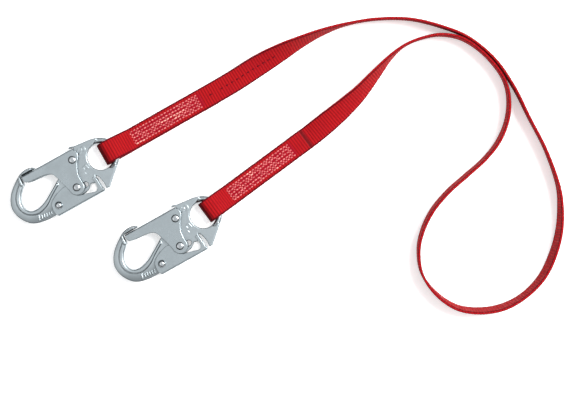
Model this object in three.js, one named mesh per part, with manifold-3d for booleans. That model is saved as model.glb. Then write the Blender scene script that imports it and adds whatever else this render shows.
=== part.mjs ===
// Web lanyard with two self-locking snap hooks.
//
// One flat web is folded through the eye of a snap hook at each end and sewn
// down on itself. Between the sewn ends the web lies on a surface in one open
// loop, standing on its edge, and it rolls half a turn on the way, so that each
// hook lies flat with the same side up. Millimetres, +Z up, the hooks' long
// axis along X.
import * as THREE from 'three';
import { mergeVertices } from 'three/addons/utils/BufferGeometryUtils.js';
import Module from 'manifold-3d';

const wasm = await Module();
wasm.setup();

// ---------------------------------------------------------------- dimensions
const GAP = 0.3;                  // air kept between neighbouring solids

// Web and its sewn ends
const WEB_W = 25.4;               // width, a one inch web
const WEB_T = 3.0;                // thickness of one ply
const SEWN_LENGTH = 150;          // fold tip to the end of the sewn piece
const TAIL_LENGTH = 146;          // fold tip to the cut end of the folded ply
const LOOP_R = 7.0;               // inner radius of the fold
const STITCH_HEIGHT = 0.6;        // how far the thread stands up from the web
const STITCH_LENGTH = 90;         // length of a stitched block
const STITCH_WIDTH = 16;          // width of a stitched block
const STITCH_ROWS = 5;            // lengthwise rows of thread
const THREAD_W = 0.9;             // width of one row

// Snap hook: its frame starts at the centre of the eye, halfway through
const MID_Z = 10;                 // height of the hooks' mid-plane
const EYE_RING = [0.4, 0];        // eye ring, centre
const EYE_R = 18.5;               // eye ring, centre line
const EYE_BAR_R = 3.35;           // eye ring, radius of its round bar
const EYE_HOLE = [1.2, 0];        // the forging's flat face round the eye, centre
const EYE_HOLE_R = 15.6;          // and inner edge
const BODY_HALF = 4.0;            // half thickness of the forged body
const BEAD_HALF = 5.6;            // half thickness of the bead round the throat
const NOSE_HALF = 7.6;            // half thickness of the rim round the gate's tip
const SHEET = 1.8;                // thickness of the lever's and gate's sheet
const LEVER_IN = BODY_HALF + GAP;             // inner face of the lever's sides
const LEVER_OUT = LEVER_IN + SHEET;
const GATE_IN = LEVER_OUT + GAP;              // inner face of the gate's sides
const GATE_OUT = GATE_IN + SHEET;
const PIVOT_R = 2.9;              // rivet shanks
const PIN_R = 2.5;                // lock pin shank
const HEAD_R = 4.5;               // rivet heads
const HOLE_GAP = 0.3;             // radial play of a shank in its hole
const GATE_OPEN = 19;             // degrees that the gate swings into the throat
const GATE_PIVOT = [-28.7, 11.6];
const LOCK_PIN = [-39.3, -18.2];
const LEVER_PIVOT = [-67.3, -25.9];

// Where the hooks and sewn ends lie
const FOLD_TIP = 2.3;             // fold tip, from the eye centre along the web
const SWING_AXIS = 15.6;          // line that a hook swings about, from the eye centre
const EYES = { a: [-53, 61.6], b: [16.8, -53.5] };
const WEB_TURN = { a: 0.3, b: 7.3 };          // degrees from +X to each sewn end
const STITCH_START = { a: 40, b: 36 };        // fold tip to the stitched block

// Route of the free web from sewn end a to sewn end b: x, y and the roll of its
// face in degrees. 0 lies flat, 90 stands on edge and 180 lies the other way up.
const ROUTE = [
  [99.67, 62.4, 0], [124.5, 63.1, 6], [154.5, 64.8, 22], [184.5, 65, 46], [211.5, 64.1, 68],
  [238.4, 61.7, 83], [266.3, 56, 93], [298.3, 44.5, 95], [332.5, 25, 95], [361.4, -2.1, 95],
  [380.2, -27.2, 95.5], [393.2, -62.1, 96], [396.7, -100, 96], [395, -138, 97], [393.6, -178.1, 97],
  [386.8, -219.1, 95], [376.3, -244.9, 90], [361.5, -268, 86], [342.5, -287.5, 84],
  [319.9, -303.3, 84], [293.6, -311.6, 85], [266.4, -312, 82], [240.3, -303.3, 81],
  [218.2, -286.7, 81.5], [205.3, -262.1, 83], [201.9, -234.9, 87], [210.5, -210.5, 89],
  [225.5, -192, 91], [247.5, -176.5, 93], [273.5, -166.5, 94], [300.5, -160.5, 94],
  [327.6, -154.4, 93], [352.1, -144, 92], [373.1, -126.5, 89.5], [387.2, -103.4, 86.5],
  [391.3, -79.9, 84.5], [385.6, -49.4, 84], [373.1, -23.5, 86.5], [354.4, -7.3, 87],
  [333.1, 0.4, 87], [312.5, 2.8, 89], [291.9, -0.8, 97], [266.8, -9.8, 113], [240.8, -19.4, 129],
  [214.6, -25.9, 147], [188.5, -30.8, 165], [168.46, -34.07, 180],
];
const ROUTE_STEPS = 84;

// ------------------------------------------------------------------ materials
const steel = (color, roughness) =>
  new THREE.MeshStandardMaterial({ color, roughness, metalness: 0.9 });
const fabric = (color) =>
  new THREE.MeshStandardMaterial({ color, roughness: 0.85, metalness: 0 });

const MATERIALS = {
  forging: () => steel(0xa9b4b8, 0.38),
  sheet: () => steel(0xb6c1c4, 0.34),
  rivet: () => steel(0xbcc4c6, 0.3),
  spring: () => steel(0x8d9396, 0.35),
  web: () => fabric(0xb91d20),
  thread: () => fabric(0xf2b3a8),
};

// -------------------------------------------------------------- solid helpers
function toSolid(geometry) {
  const bare = geometry.clone();
  bare.deleteAttribute('normal');
  bare.deleteAttribute('uv');
  const merged = mergeVertices(bare, 1e-4);
  return new wasm.Manifold(new wasm.Mesh({
    numProp: 3,
    vertProperties: new Float32Array(merged.attributes.position.array),
    triVerts: new Uint32Array(merged.index.array),
  }));
}

function toGeometry(solid) {
  const { numProp, vertProperties, triVerts } = solid.getMesh();
  const positions = new Float32Array((vertProperties.length / numProp) * 3);
  for (let i = 0; i < positions.length / 3; i++) {
    for (let k = 0; k < 3; k++) positions[3 * i + k] = vertProperties[numProp * i + k];
  }
  const geometry = new THREE.BufferGeometry();
  geometry.setAttribute('position', new THREE.BufferAttribute(positions, 3));
  geometry.setIndex(new THREE.BufferAttribute(new Uint32Array(triVerts), 1));
  return geometry;
}

const join = (...solids) => solids.reduce((a, b) => a.add(b));
const cut = (solid, ...tools) => tools.reduce((a, b) => a.subtract(b), solid);

const v2 = (x, y) => new THREE.Vector2(x, y);
const toRad = THREE.MathUtils.degToRad;

// Points of an arc, from and to in degrees
function arc([cx, cy], r, from, to, steps) {
  return Array.from({ length: steps + 1 }, (_, i) => {
    const angle = toRad(from + ((to - from) * i) / steps);
    return [cx + r * Math.cos(angle), cy + r * Math.sin(angle)];
  });
}

// Points of a smooth curve through the given ones
function smooth(points, perSpan = 2) {
  const curve = new THREE.SplineCurve(points.map(([x, y]) => v2(x, y)));
  return curve.getPoints((points.length - 1) * perSpan).map((p) => [p.x, p.y]);
}

const shapeOf = (points) => new THREE.Shape(points.map(([x, y]) => v2(x, y)));

// A flat slab of an outline between two heights, with an optional bevel
function slab(points, low, high, bevel = 0) {
  const geometry = new THREE.ExtrudeGeometry(shapeOf(points), {
    depth: high - low - 2 * bevel,
    bevelEnabled: bevel > 0,
    bevelThickness: bevel,
    bevelSize: bevel,
    bevelOffset: -bevel,
    bevelSegments: 1,
    steps: 1,
  });
  geometry.translate(0, 0, low + bevel);
  return toSolid(geometry);
}

function drill([x, y], r, low, high) {
  return slab(arc([x, y], r, 0, 342, 19), low, high);
}

// ---------------------------------------------------------------- hook solids
// Forged body: nose, throat, spine, lobe for the gate, fin and eye.
function bodyOutline() {
  return [
    ...smooth([
      [-71.6, 24.1], [-71.9, 25.9], [-75.6, 27.9], [-81.4, 28.7], [-88.8, 27.2], [-96, 22.9],
      [-106.3, 15.0], [-113.2, 6], [-116.3, -2.8], [-115.6, -12], [-112.4, -19.6],
      [-108.1, -25.6], [-103.4, -29.4], [-96.9, -32.1], [-86.6, -33.9], [-77, -34],
    ]),
    [-67, -33.2], [-55, -31.2], [-42, -28.9],
    ...smooth([[-34, -27.8], [-29.4, -26.6], [-26.2, -23.8], [-23.4, -22.2], [-19.6, -23.4],
      [-17.2, -22.2], [-15, -17.6]]),
    ...smooth([[-14.2, -16], [-12.2, -19.5], [-10.9, -24.5], [-10.3, -30], [-10.9, -35.4]]),
    [-6.8, -35.4],
    ...arc(EYE_RING, EYE_R + EYE_BAR_R, -58, -56.5, 1),
    ...arc(EYE_RING, EYE_R, -56.5, -72, 2),
    ...arc(EYE_HOLE, EYE_HOLE_R, -84, -264, 22),
    ...arc(EYE_RING, EYE_R, 78, 70, 1),
    ...arc(EYE_RING, EYE_R + EYE_BAR_R, 74, 78, 1),
    [-0.4, 22.8], [-13.2, 24.1], [-20.2, 24.9],
    ...smooth([[-22.4, 25.9], [-25.4, 26.7], [-27.3, 25.4]]),
    ...arc(GATE_PIVOT, 13.5, 82, 57, 4),
    ...arc(GATE_PIVOT, 9.2, 57, 205, 10),
    ...smooth([[-42, 5.2], [-48, 3.2], [-53.6, 0.9], [-60.6, -3.2], [-68.7, -8], [-78.6, -13.7],
      [-86.8, -16.6], [-93.4, -17.2], [-98.5, -15.9], [-102.2, -11.8], [-103.7, -6.2],
      [-102.6, -0.2], [-99, 5.8], [-94.6, 10.2], [-91.2, 14.6], [-90.6, 19]]),
    [-90.6, 23.8],
  ];
}

// Raised bead that runs round the throat
function beadOutline() {
  return [
    ...smooth([[-91.6, 14.6], [-94.8, 10.4], [-99.2, 5.9], [-102.8, -0.2], [-103.9, -6.3],
      [-102.4, -12], [-98.6, -16.1], [-93.4, -17.4], [-86.7, -16.8], [-78.5, -13.9],
      [-68.6, -8.2], [-60.5, -3.4], [-56.5, -1.2]]),
    ...smooth([[-57, -4.2], [-62, -6.8], [-70, -11.8], [-77.5, -17.4], [-85, -21.4],
      [-93, -22.8], [-100, -20.8], [-105.2, -16.6], [-108.6, -10.6], [-109.3, -3.6],
      [-107.6, 3.2], [-103.6, 9.4], [-98.4, 14.6], [-94, 18.4]]),
    [-91.6, 18.4],
  ];
}

// Rim that stands round the tip of the closed gate, inside the nose
function noseRim() {
  return [
    ...smooth([[-92.6, 12.4], [-94.4, 15.2], [-94.2, 19.2], [-92.4, 23.2], [-88, 25.9],
      [-81.4, 27.3], [-76, 26.7]]),
    [-74.2, 25.4], [-75.6, 24.6], [-89.8, 24.4], [-90.7, 23.6], [-90.8, 19], [-91.2, 13.8],
  ];
}

function hookBody() {
  const far = 30;
  const ring = new THREE.TorusGeometry(EYE_R, EYE_BAR_R, 8, 40).translate(...EYE_RING, 0);
  // the lock pin's curved slot, centred on the gate's pivot
  const reach = Math.hypot(LOCK_PIN[0] - GATE_PIVOT[0], LOCK_PIN[1] - GATE_PIVOT[1]);
  const start = THREE.MathUtils.radToDeg(
    Math.atan2(LOCK_PIN[1] - GATE_PIVOT[1], LOCK_PIN[0] - GATE_PIVOT[0]));
  const half = PIN_R + HOLE_GAP;
  const slot = [
    ...arc(GATE_PIVOT, reach + half, start, start + GATE_OPEN, 6),
    ...arc(arc(GATE_PIVOT, reach, start + GATE_OPEN, 0, 1)[0], half, start + GATE_OPEN,
      start + GATE_OPEN + 180, 6).slice(1, -1),
    ...arc(GATE_PIVOT, reach - half, start + GATE_OPEN, start, 6),
    ...arc(LOCK_PIN, half, start + 180, start + 360, 6).slice(1, -1),
  ];
  const gateBoss = drill(GATE_PIVOT, 6, -GATE_IN + GAP, 0);
  const springRecess = drill(GATE_PIVOT, 6, 2.2, far);
  const springGroove = slab([[-42, 3.4], [-40.5, 0.6], [-28.7, 6.2], [-28.7, 11.6]], 2.2, far);
  const leverRecess = drill(LEVER_PIVOT, 5.8, 1.4, far);
  const leverGroove = slab([[-67, -25], [-67, -36], [-49, -36], [-49, -27]], 1.4, far);
  return cut(
    join(slab(bodyOutline(), -BODY_HALF, BODY_HALF, 0.4),
      slab(beadOutline(), -BEAD_HALF, BEAD_HALF, 0.6),
      slab(noseRim(), -NOSE_HALF, NOSE_HALF, 0.2), toSolid(ring), gateBoss),
    slab(slot, -far, far), drill(GATE_PIVOT, PIVOT_R + HOLE_GAP, -far, far),
    drill(LEVER_PIVOT, PIVOT_R + HOLE_GAP, -far, far),
    springRecess, springGroove, leverRecess, leverGroove);
}

// A bent sheet channel: two side plates joined by a strip along one edge
function channel(side, strip, inner, outer, holes) {
  const solid = join(slab(side, inner, outer, 0.25), slab(side, -outer, -inner, 0.25),
    slab(strip, -outer, outer, 0.25));
  return cut(solid, ...holes.map(([centre, r]) => drill(centre, r, -outer - 1, outer + 1)));
}

function gate() {
  const top = 23.2;
  const side = [
    [-22.6, top], [-88.5, top], [-88.3, 16.4],
    ...smooth([[-86.6, 14.6], [-81.4, 13.2], [-73.1, 12.6], [-64.3, 11.6], [-59.2, 10.0],
      [-55.9, 7.2], [-53.4, 1.4], [-50.2, -9.4], [-48.2, -17.4]]),
    ...arc(LOCK_PIN, 8.8, 186, 350, 9),
    ...smooth([[-31, -12], [-30.3, -4.6], [-25.6, 5.4], [-22.4, 9.4], [-19.8, 15],
      [-20.6, 19.6]]),
  ];
  const strip = [[-22.6, top], [-88.5, top], [-88.5, top - SHEET], [-22.6, top - SHEET]];
  return channel(side, strip, GATE_IN, GATE_OUT,
    [[GATE_PIVOT, PIVOT_R + HOLE_GAP], [LOCK_PIN, PIN_R + HOLE_GAP]]);
}

function lockLever() {
  const bottom = -36.8;
  const side = [
    ...smooth([[-73.6, bottom], [-75.2, -32.4], [-75.2, -25.6], [-73.6, -20.6], [-71, -17.6]]),
    ...smooth([[-66, -14.8], [-60, -12.4], [-53.4, -10.7], [-45.5, -11.6]]),
    [-44, -25.2], [-41, -27.6], [-33, -29.4], [-27.6, -31.2],
    ...smooth([[-23.4, -32.6], [-20.2, -31.2], [-18.6, -27.6], [-18.7, -21.6], [-19.4, -17]]),
    [-15.8, -16.4], [-14.9, -20.4], [-14.6, -31], [-13.6, bottom],
  ].reverse();
  const strip = [[-13.6, bottom], [-13.6, bottom + SHEET], [-73.4, bottom + SHEET],
    [-73.4, bottom]];
  return channel(side, strip, LEVER_IN, LEVER_OUT, [[LEVER_PIVOT, PIVOT_R + HOLE_GAP]]);
}

// Rivet along Z with a domed head at each end, the heads' undersides at +-grip
function rivet(shank, grip, rise) {
  const dome = (t) => [HEAD_R * Math.sin(t), grip + 0.5 + (rise - 0.5) * Math.cos(t)];
  const upper = [0, 1 / 3, 2 / 3, 1].map((t) => dome((t * Math.PI) / 2));
  const half = [...upper, [HEAD_R, grip], [shank, grip]];
  const lower = half.map(([x, z]) => [x, -z]).reverse();
  const profile = [...half, ...lower].reverse().map(([x, z]) => v2(x, z));
  const geometry = new THREE.LatheGeometry(profile, 16);
  geometry.rotateX(Math.PI / 2);
  return toSolid(geometry);
}

// Torsion spring: a leg, a coil round the rivet and a second leg
function torsionSpring(centre, r, wire, low, turns, legs) {
  const [cx, cy] = centre;
  const pitch = wire * 2 + 0.15;
  const first = toRad(legs.startAngle);
  const points = [new THREE.Vector3(...legs.start, low)];
  const count = Math.round(turns * 12);
  for (let i = 0; i <= count; i++) {
    const turn = (turns * i) / count;
    const angle = first + turn * 2 * Math.PI;
    points.push(new THREE.Vector3(cx + r * Math.cos(angle), cy + r * Math.sin(angle),
      low + turn * pitch));
  }
  points.push(new THREE.Vector3(...legs.end, low + turns * pitch));
  const section = shapeOf(arc([0, 0], wire, 0, 300, 5));
  const path = new THREE.CatmullRomCurve3(points, false, 'centripetal');
  return toSolid(new THREE.ExtrudeGeometry(section,
    { steps: count + 8, bevelEnabled: false, extrudePath: path }));
}

// ----------------------------------------------------------------- web solids
// Side view of a sewn end: s runs from the fold tip along the web, z is height.
function sewnOutline(joinAt) {
  const axis = [SWING_AXIS - FOLD_TIP, MID_Z];
  const nose = [MID_Z, MID_Z];
  const rise = axis[1] - WEB_T;
  const away = joinAt - axis[0];
  const slope = THREE.MathUtils.radToDeg(
    Math.asin(LOOP_R / Math.hypot(away, rise)) + Math.atan2(rise, away));
  const lean = toRad(slope);
  const outer = LOOP_R + WEB_T;
  const topJoin = joinAt + WEB_T * Math.tan(lean / 2);
  return {
    outside: [...arc(nose, outer, 270, 90, 14), ...arc(axis, outer, 90, 90 - slope, 4),
      [topJoin, 2 * WEB_T]],
    hole: [[joinAt, WEB_T], ...arc(axis, LOOP_R, 90 - slope, 90, 4),
      ...arc(nose, LOOP_R, 90, 270, 12)],
  };
}

// A side view pushed out to the web's width, its s along X
function acrossWeb(points, holes = []) {
  const shape = shapeOf(points);
  holes.forEach((hole) => shape.holes.push(new THREE.Path(hole.map(([x, y]) => v2(x, y)))));
  const geometry = new THREE.ExtrudeGeometry(shape, { depth: WEB_W, bevelEnabled: false });
  geometry.rotateX(Math.PI / 2);
  geometry.translate(0, WEB_W / 2, 0);
  return toSolid(geometry);
}

function sewnEnd(end) {
  const { outside, hole } = sewnOutline(STITCH_START[end] - 2);
  const top = 2 * WEB_T;
  // a carries the free web on the tail; b carries its tail on the free web
  const ends = {
    a: [[SEWN_LENGTH, top], [SEWN_LENGTH, WEB_T], [TAIL_LENGTH, WEB_T], [TAIL_LENGTH, 0]],
    b: [[TAIL_LENGTH, top], [TAIL_LENGTH, WEB_T], [SEWN_LENGTH, WEB_T], [SEWN_LENGTH, 0]],
  };
  return acrossWeb([...outside, ...ends[end]], [hole]);
}

// Lengthwise rows of thread, tied together by cross rows
function stitchBlock(end) {
  const low = 2 * WEB_T + GAP;
  const high = low + STITCH_HEIGHT;
  const s0 = STITCH_START[end];
  const s1 = s0 + STITCH_LENGTH;
  const bar = (x0, x1, y0, y1) => slab([[x0, y0], [x1, y0], [x1, y1], [x0, y1]], low, high);
  const rowPitch = (STITCH_WIDTH - THREAD_W) / (STITCH_ROWS - 1);
  const rows = Array.from({ length: STITCH_ROWS }, (_, i) => {
    const y = -STITCH_WIDTH / 2 + i * rowPitch;
    return bar(s0, s1, y, y + THREAD_W);
  });
  const crossRows = [0, 1 / 3, 2 / 3, 1].map((f) => {
    const s = s0 + f * (STITCH_LENGTH - THREAD_W);
    return bar(s, s + THREAD_W, -STITCH_WIDTH / 2, STITCH_WIDTH / 2);
  });
  return join(...rows, ...crossRows);
}

// The free web's centre line, with frames that carry the web's roll
class RolledPath extends THREE.CatmullRomCurve3 {
  constructor(points, rolls) {
    super(points, false, 'catmullrom', 0.5);
    this.rolls = new THREE.CatmullRomCurve3(
      rolls.map((roll) => new THREE.Vector3(roll, 0, 0)), false, 'catmullrom', 0.5);
  }

  computeFrenetFrames(segments) {
    const frames = { tangents: [], normals: [], binormals: [] };
    for (let i = 0; i <= segments; i++) {
      const t = this.getUtoTmapping(i / segments);
      const tangent = this.getTangent(t);
      const right = new THREE.Vector3(tangent.y, -tangent.x, 0).normalize();
      const up = new THREE.Vector3().crossVectors(right, tangent);
      const roll = toRad(this.rolls.getPoint(t).x);
      const across = right.multiplyScalar(Math.cos(roll)).addScaledVector(up, -Math.sin(roll));
      frames.tangents.push(tangent);
      frames.normals.push(across);
      frames.binormals.push(new THREE.Vector3().crossVectors(tangent, across));
    }
    return frames;
  }
}

// Height of the web's centre when its lower edge rests on the surface
function restHeight(roll) {
  const angle = toRad(roll);
  return (WEB_W / 2) * Math.abs(Math.sin(angle)) + (WEB_T / 2) * Math.abs(Math.cos(angle));
}

function freeWeb() {
  const onTail = 1.5 * WEB_T;     // the first stretch still lies on the tail
  const points = ROUTE.map(([x, y, roll], i) =>
    new THREE.Vector3(x, y, Math.max(restHeight(roll), i < 2 ? onTail : 0)));
  const path = new RolledPath(points, ROUTE.map(([, , roll]) => roll));
  const [w, t, edge] = [WEB_W / 2, WEB_T / 2, 0.7];
  const section = shapeOf([[w, edge - t], [w, t - edge], [w - edge, t], [edge - w, t],
    [-w, t - edge], [-w, edge - t], [edge - w, -t], [w - edge, -t]]);
  return new THREE.ExtrudeGeometry(section,
    { steps: ROUTE_STEPS, bevelEnabled: false, extrudePath: path });
}

// ------------------------------------------------------------------- assembly
function part(name, shape, material) {
  const geometry = shape.isBufferGeometry ? shape : toGeometry(shape);
  const mesh = new THREE.Mesh(geometry, MATERIALS[material]());
  mesh.name = name;
  return mesh;
}

function at(mesh, [x, y]) {
  mesh.position.set(x, y, 0);
  return mesh;
}

function snapHook(end) {
  const hook = new THREE.Group();
  hook.add(
    part(`hook_body_${end}`, hookBody(), 'forging'),
    part(`gate_${end}`, gate(), 'sheet'),
    part(`lock_lever_${end}`, lockLever(), 'sheet'),
    at(part(`gate_pivot_rivet_${end}`, rivet(PIVOT_R, GATE_OUT + GAP, 1.5), 'rivet'), GATE_PIVOT),
    at(part(`lock_pin_${end}`, rivet(PIN_R, GATE_OUT + GAP, 1.5), 'rivet'), LOCK_PIN),
    at(part(`lever_pivot_rivet_${end}`, rivet(PIVOT_R, LEVER_OUT + GAP, 2.6), 'rivet'),
      LEVER_PIVOT),
    part(`gate_spring_${end}`, torsionSpring(GATE_PIVOT, 4.3, 0.45, 2.9, 2.4,
      { start: [-40, 2.2], startAngle: 293, end: [-42, 19.4] }), 'spring'),
    part(`lever_spring_${end}`, torsionSpring(LEVER_PIVOT, 4.3, 0.4, 2.0, 1.63,
      { start: [-60, -30.4], startAngle: 28, end: [-54, -34] }), 'spring'),
  );
  hook.position.set(...EYES[end], MID_Z);
  return hook;
}

function sewnWeb(end) {
  const web = new THREE.Group();
  web.add(
    part(`web_end_${end}`, sewnEnd(end), 'web'),
    part(`stitching_${end}`, stitchBlock(end), 'thread'),
  );
  const turn = toRad(WEB_TURN[end]);
  web.position.set(EYES[end][0] + FOLD_TIP * Math.cos(turn),
    EYES[end][1] + FOLD_TIP * Math.sin(turn), 0);
  web.rotation.z = turn;
  return web;
}

const lanyard = new THREE.Group();
['a', 'b'].forEach((end) => lanyard.add(snapHook(end), sewnWeb(end)));
lanyard.add(part('web_run', freeWeb(), 'web'));

export default lanyard;
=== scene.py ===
import math
import random

import bpy
import numpy as np
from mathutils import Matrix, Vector


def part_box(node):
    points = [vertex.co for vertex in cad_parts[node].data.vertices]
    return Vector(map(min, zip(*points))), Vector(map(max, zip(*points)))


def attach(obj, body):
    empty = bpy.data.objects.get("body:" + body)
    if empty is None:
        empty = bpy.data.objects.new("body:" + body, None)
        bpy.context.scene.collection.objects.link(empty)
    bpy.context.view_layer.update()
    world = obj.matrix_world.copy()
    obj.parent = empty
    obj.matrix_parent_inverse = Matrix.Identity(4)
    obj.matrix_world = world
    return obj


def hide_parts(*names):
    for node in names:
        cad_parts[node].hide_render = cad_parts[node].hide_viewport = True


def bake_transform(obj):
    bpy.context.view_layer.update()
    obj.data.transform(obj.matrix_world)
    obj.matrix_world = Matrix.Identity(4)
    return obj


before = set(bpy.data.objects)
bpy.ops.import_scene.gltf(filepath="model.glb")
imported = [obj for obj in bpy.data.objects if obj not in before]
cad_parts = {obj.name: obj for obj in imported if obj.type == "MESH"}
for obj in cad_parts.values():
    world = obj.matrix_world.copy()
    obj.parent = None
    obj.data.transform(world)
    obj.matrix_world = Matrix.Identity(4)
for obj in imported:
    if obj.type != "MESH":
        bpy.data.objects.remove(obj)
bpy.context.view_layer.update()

MM = 0.001

# Web
WEB_W = 25.4 * MM
WEB_T = 3.0 * MM
RIB_PITCH = 3.2 * MM          # cross ribs of the weave
RIB_DEPTH = 0.30 * MM
YARN_PITCH = 1.05 * MM
RIB_STEPS = 6                 # rings of the mesh in one rib
TAIL_LENGTH = 146 * MM        # fold tip to the cut end of the folded ply
SEWN_LENGTH = 150 * MM        # fold tip to the free web
LOOP_R = 7.0 * MM             # inner radius of the fold
MID_Z = 10 * MM               # height of the hooks' mid-plane
LAP = 0.8 * MM                # the sewn end runs this far into the free web
FOLD_TIP = 2.3 * MM           # fold tip, from the eye centre along the web
SWING_AXIS = 15.6 * MM        # line that a hook swings about, from the eye centre
WEB_TURN = {"a": math.radians(0.3), "b": math.radians(7.3)}
STITCH_START = {"a": 40 * MM, "b": 36 * MM}
STITCH_LENGTH = 90 * MM
STITCH_WIDTH = 16 * MM

# Snap hook, in a frame that starts at the eye centre
GATE_PIVOT = (-28.7, 11.6)
LOCK_PIN = (-39.3, -18.2)
LEVER_PIVOT = (-67.3, -25.9)
EYE_RING, EYE_R, EYE_BAR_R = (0.4, 0), 18.5, 3.35
EYE_HOLE, EYE_HOLE_R = (1.2, 0), 15.6      # inner edge of the flat face round the eye
HEAD_R = 4.5
BEND_R = 2.3                               # outer radius of the bent sheet's corners
GATE_OPEN = 19                             # degrees that the gate swings
PIVOT_HOLE, PIN_HOLE = 3.2, 2.8            # radii of the holes and of half the pin's slot
BODY_HALF, BEAD_HALF, NOSE_HALF = 4.0, 5.6, 7.6    # half thicknesses of the forging
LEVER_SIDE, GATE_SIDE = (4.3, 6.1), (6.4, 8.2)     # inner and outer face of each side
GATE_TOP, LEVER_BOTTOM = 23.2, -36.8       # y of the bent strips
BEND_MIDDLE = (-86, -4)                    # middle of the throat's bend
FLANGE_END = -62                           # the tapered flange lies left of this x
# each spring's long leg: the body that it bends with, and the stretch, measured from its
# pivot, along which it goes over from the hook to that body
SPRING_LEGS = {
    "gate_spring": ("gate", (-2.9, 3.5), (-8.3, 10.0)),
    "lever_spring": ("lever", (7.7, -4.7), (12.8, -7.8)),
}

# Route of the free web, from sewn end a to sewn end b: x and y in metres and the
# roll of the web's face in degrees. 0 lies flat, 90 stands on edge.
ROUTE = [
    (0.09967, 0.0624, 0), (0.1245, 0.0631, 6), (0.1545, 0.0648, 22), (0.1845, 0.065, 46),
    (0.2115, 0.0641, 68), (0.2384, 0.0617, 83), (0.2663, 0.056, 93), (0.2983, 0.0445, 95),
    (0.3325, 0.025, 95), (0.3614, -0.0021, 95), (0.3802, -0.0272, 95.5), (0.3932, -0.0621, 96),
    (0.3967, -0.1, 96), (0.395, -0.138, 97), (0.3936, -0.1781, 97), (0.3868, -0.2191, 95),
    (0.3763, -0.2449, 90), (0.3615, -0.268, 86), (0.3425, -0.2875, 84), (0.3199, -0.3033, 84),
    (0.2936, -0.3116, 85), (0.2664, -0.312, 82), (0.2403, -0.3033, 81), (0.2182, -0.2867, 81.5),
    (0.2053, -0.2621, 83), (0.2019, -0.2349, 87), (0.2105, -0.2105, 89), (0.2255, -0.192, 91),
    (0.2475, -0.1765, 93), (0.2735, -0.1665, 94), (0.3005, -0.1605, 94), (0.3276, -0.1544, 93),
    (0.3521, -0.144, 92), (0.3731, -0.1265, 89.5), (0.3872, -0.1034, 86.5),
    (0.3913, -0.0799, 84.5), (0.3856, -0.0494, 84), (0.3731, -0.0235, 86.5),
    (0.3544, -0.0073, 87), (0.3331, 0.0004, 87), (0.3125, 0.0028, 89), (0.2919, -0.0008, 97),
    (0.2668, -0.0098, 113), (0.2408, -0.0194, 129), (0.2146, -0.0259, 147),
    (0.1885, -0.0308, 165), (0.16846, -0.03407, 180),
]


def eye_centre(end):
    """Where a hook's eye centre is, from the place of its gate pivot rivet."""
    low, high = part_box(f"gate_pivot_rivet_{end}")
    return Vector((
        (low[0] + high[0]) / 2 - GATE_PIVOT[0] * MM,
        (low[1] + high[1]) / 2 - GATE_PIVOT[1] * MM,
        MID_Z,
    ))


EYES = {end: eye_centre(end) for end in "ab"}


# ------------------------------------------------------------ camera and light
def make_camera():
    """Straight down, turned so that the hooks' long axis climbs to the right."""
    height, scale, frame_px = 1.5, 1.14 * MM, 574
    hook_slope = math.radians(29.2)
    centre = Vector((0.1075, -0.0879))
    data = bpy.data.cameras.new("camera")
    data.sensor_width = 36.0
    data.lens = 36.0 * height / (scale * frame_px)
    camera = bpy.data.objects.new("camera", data)
    bpy.context.collection.objects.link(camera)
    camera.location = (centre.x, centre.y, height + MID_Z)
    camera.rotation_euler = (0, 0, -hook_slope)
    bpy.context.scene.camera = camera


def make_stage():
    """White floor, a sky that is brightest overhead and towards +X, three soft lights."""
    scene = bpy.context.scene
    scene.view_settings.view_transform = "Standard"
    bpy.ops.mesh.primitive_plane_add(size=16, location=(0.1, -0.1, 0))
    floor = bpy.context.object
    floor.name = "floor"
    material = bpy.data.materials.new("floor")
    material.use_nodes = True
    shader = material.node_tree.nodes["Principled BSDF"]
    shader.inputs["Base Color"].default_value = (0.9, 0.9, 0.9, 1)
    shader.inputs["Roughness"].default_value = 0.9
    shader.inputs["Specular IOR Level"].default_value = 0.1
    shader.inputs["Emission Color"].default_value = (1, 1, 1, 1)
    shader.inputs["Emission Strength"].default_value = 0.42
    floor.data.materials.append(material)

    world = bpy.data.worlds.new("studio")
    world.use_nodes = True
    tree = world.node_tree
    place = tree.nodes.new("ShaderNodeTexCoord")
    split = tree.nodes.new("ShaderNodeSeparateXYZ")
    ramp = tree.nodes.new("ShaderNodeValToRGB")
    tree.links.new(place.outputs["Generated"], split.inputs[0])
    tree.links.new(split.outputs["Z"], ramp.inputs[0])
    tree.links.new(ramp.outputs[0], tree.nodes["Background"].inputs["Color"])
    sideways = tree.nodes.new("ShaderNodeMapRange")
    for socket, value in zip(sideways.inputs[1:5], (-0.6, 0.6, 0.55, 1.25)):
        socket.default_value = value
    tree.links.new(split.outputs["X"], sideways.inputs[0])
    tree.links.new(sideways.outputs[0], tree.nodes["Background"].inputs["Strength"])
    low, high = ramp.color_ramp.elements
    low.position, low.color = 0.46, (0.03, 0.035, 0.04, 1)
    high.position, high.color = 0.74, (1.16, 1.17, 1.18, 1)
    scene.world = world

    aim = Vector((0.12, -0.1, 0))
    for name, azimuth, tilt, size, power in (
        ("key", 0, 34, 0.9, 42), ("fill", 165, 40, 1.4, 4), ("side", -22, 68, 1.0, 9),
    ):
        light = bpy.data.lights.new(name, "AREA")
        light.shape = "DISK"
        light.size = size
        light.energy = power
        lamp = bpy.data.objects.new(name, light)
        bpy.context.collection.objects.link(lamp)
        around, off = math.radians(azimuth), math.radians(tilt)
        lamp.location = aim + 2.0 * Vector((
            math.sin(off) * math.cos(around), math.sin(off) * math.sin(around), math.cos(off)))
        lamp.rotation_euler = (aim - lamp.location).to_track_quat("-Z", "Y").to_euler()


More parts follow.
